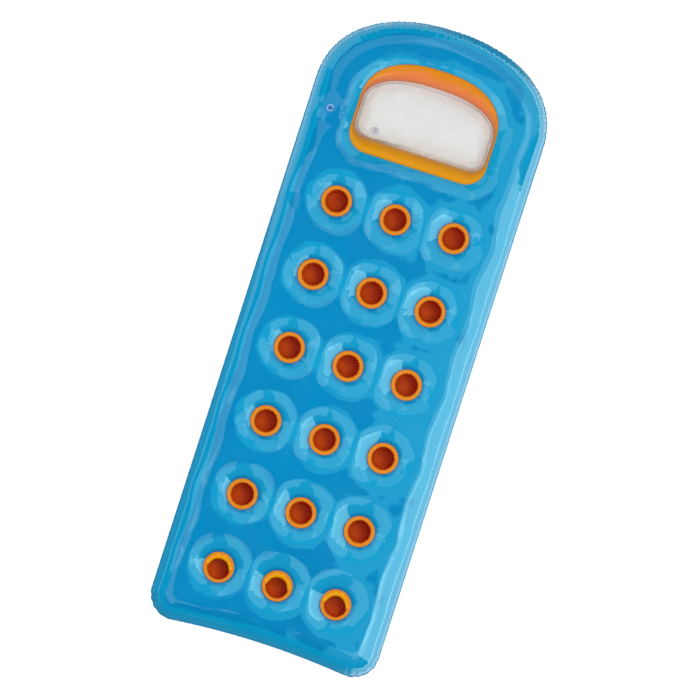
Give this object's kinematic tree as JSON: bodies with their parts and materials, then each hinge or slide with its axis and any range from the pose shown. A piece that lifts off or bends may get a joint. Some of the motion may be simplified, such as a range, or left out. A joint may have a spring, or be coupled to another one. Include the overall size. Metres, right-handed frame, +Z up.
{
  "type": "pool air mattress",
  "caption": "Long inflatable pool lounge with round sunken pockets, a clear inflatable pillow set in a window at its rounded head end, and push-in air valves.",
  "frame": {"origin": "under the middle of the blown-up lounge, on the surface that it lies on", "axes": "+Z up, +Y towards the rounded head end with the pillow, +X across to the right seen from above with the head end up"},
  "size_m": [0.632, 1.716, 0.1415],
  "materials": {
    "blue_film": "very glossy translucent soft film",
    "orange_film": "glossy soft film",
    "pocket_film": "glossy soft film",
    "clear_film": "clear glossy soft film",
    "valve_plastic": "clear soft moulded plastic"
  },
  "bodies": {
    "lounge": {"top_sheet": "blue_film", "bottom_sheet": "blue_film", "window_band": "orange_film", "pillow_top_film": "clear_film", "pillow_bottom_film": "clear_film", "main_valve_base": "valve_plastic", "pillow_valve_base": "valve_plastic", "pocket_sleeve_01": "orange_film", "pocket_floor_01": "pocket_film", "pocket_sleeve_02": "orange_film", "pocket_floor_02": "pocket_film", "pocket_sleeve_03": "orange_film", "pocket_floor_03": "pocket_film", "pocket_sleeve_04": "orange_film", "pocket_floor_04": "pocket_film", "pocket_sleeve_05": "orange_film", "pocket_floor_05": "pocket_film", "pocket_sleeve_06": "orange_film", "pocket_floor_06": "pocket_film", "pocket_sleeve_07": "orange_film", "pocket_floor_07": "pocket_film", "pocket_sleeve_08": "orange_film", "pocket_floor_08": "pocket_film", "pocket_sleeve_09": "orange_film", "pocket_floor_09": "pocket_film", "pocket_sleeve_10": "orange_film", "pocket_floor_10": "pocket_film", "pocket_sleeve_11": "orange_film", "pocket_floor_11": "pocket_film", "pocket_sleeve_12": "orange_film", "pocket_floor_12": "pocket_film", "pocket_sleeve_13": "orange_film", "pocket_floor_13": "pocket_film", "pocket_sleeve_14": "orange_film", "pocket_floor_14": "pocket_film", "pocket_sleeve_15": "orange_film", "pocket_floor_15": "pocket_film", "pocket_sleeve_16": "orange_film", "pocket_floor_16": "pocket_film", "pocket_sleeve_17": "orange_film", "pocket_floor_17": "pocket_film", "pocket_sleeve_18": "orange_film", "pocket_floor_18": "pocket_film"},
    "main_stem": {"main_valve_stem": "valve_plastic"},
    "main_plug": {"main_valve_plug": "valve_plastic"},
    "main_flap": {"main_valve_flap": "clear_film"},
    "pillow_stem": {"pillow_valve_stem": "valve_plastic"},
    "pillow_plug": {"pillow_valve_plug": "valve_plastic"},
    "pillow_flap": {"pillow_valve_flap": "clear_film"}
  },
  "joints": [
    {"name": "main_valve_pull", "type": "slide", "parent": "lounge", "child": "main_stem", "axis": [-0.1849, 0, 0.9828], "range_m": [0, 0.012]},
    {"name": "main_plug_open", "type": "hinge", "parent": "main_stem", "child": "main_plug", "pos_m": [-0.24687, 0.561, 0.14095], "axis": [0, 1, 0], "range_deg": [0, 160]},
    {"name": "main_flap_swing", "type": "hinge", "parent": "main_stem", "child": "main_flap", "pos_m": [-0.24654, 0.561, 0.12133], "axis": [0, 1, 0], "range_deg": [-55, 0], "stiffness_Nm_per_rad": 0.0001},
    {"name": "pillow_valve_pull", "type": "slide", "parent": "lounge", "child": "pillow_stem", "axis": [0, -0.5424, 0.8401], "range_m": [0, 0.012]},
    {"name": "pillow_plug_open", "type": "hinge", "parent": "pillow_stem", "child": "pillow_plug", "pos_m": [-0.1155, 0.53729, 0.09523], "axis": [0, 0.8401, 0.5424], "range_deg": [0, 160]},
    {"name": "pillow_flap_swing", "type": "hinge", "parent": "pillow_stem", "child": "pillow_flap", "pos_m": [-0.1188, 0.54779, 0.07897], "axis": [0, 0.8401, 0.5424], "range_deg": [-55, 0], "stiffness_Nm_per_rad": 0.0001}
  ]
}
